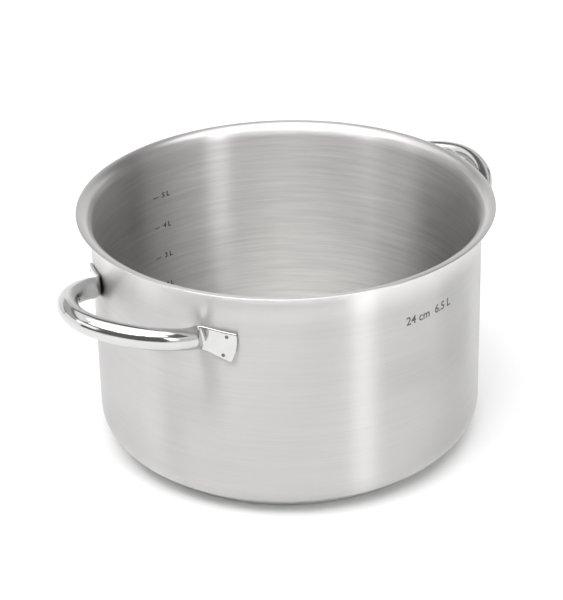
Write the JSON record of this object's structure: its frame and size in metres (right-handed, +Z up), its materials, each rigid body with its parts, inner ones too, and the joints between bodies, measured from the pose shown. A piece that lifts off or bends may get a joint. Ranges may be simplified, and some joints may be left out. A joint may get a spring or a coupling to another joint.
{
  "type": "stock pot",
  "caption": "Round stainless steel stock pot with straight wall, rolled pouring lip, thick bonded base and looped tube handles welded on opposite sides.",
  "frame": {"origin": "middle of the underside, on the surface that the pot stands on", "axes": "+Z up along the axis of the bowl; the handles stand out along -X and +X; the litre scale is inside on the +Y side and the size mark outside on the -Y side"},
  "size_m": [0.3376, 0.2584, 0.1542],
  "materials": {
    "satin_steel": "satin, finely brushed round the axis inside and out",
    "base_steel": "magnetic steel, turned in fine rings",
    "aluminium": "plain, pressed between the steel layers",
    "polished_steel": "stainless steel tube polished bright",
    "weld_steel": "dull spot weld mark"
  },
  "bodies": {
    "root": {"pot_shell": "satin_steel", "base_core_disc": "aluminium", "base_cap": "base_steel", "handle_left": "polished_steel", "handle_right": "polished_steel", "weld_left_front_upper": "weld_steel", "weld_left_front_lower": "weld_steel", "weld_left_rear_upper": "weld_steel", "weld_left_rear_lower": "weld_steel", "weld_right_front_upper": "weld_steel", "weld_right_front_lower": "weld_steel", "weld_right_rear_upper": "weld_steel", "weld_right_rear_lower": "weld_steel"}
  },
  "joints": []
}
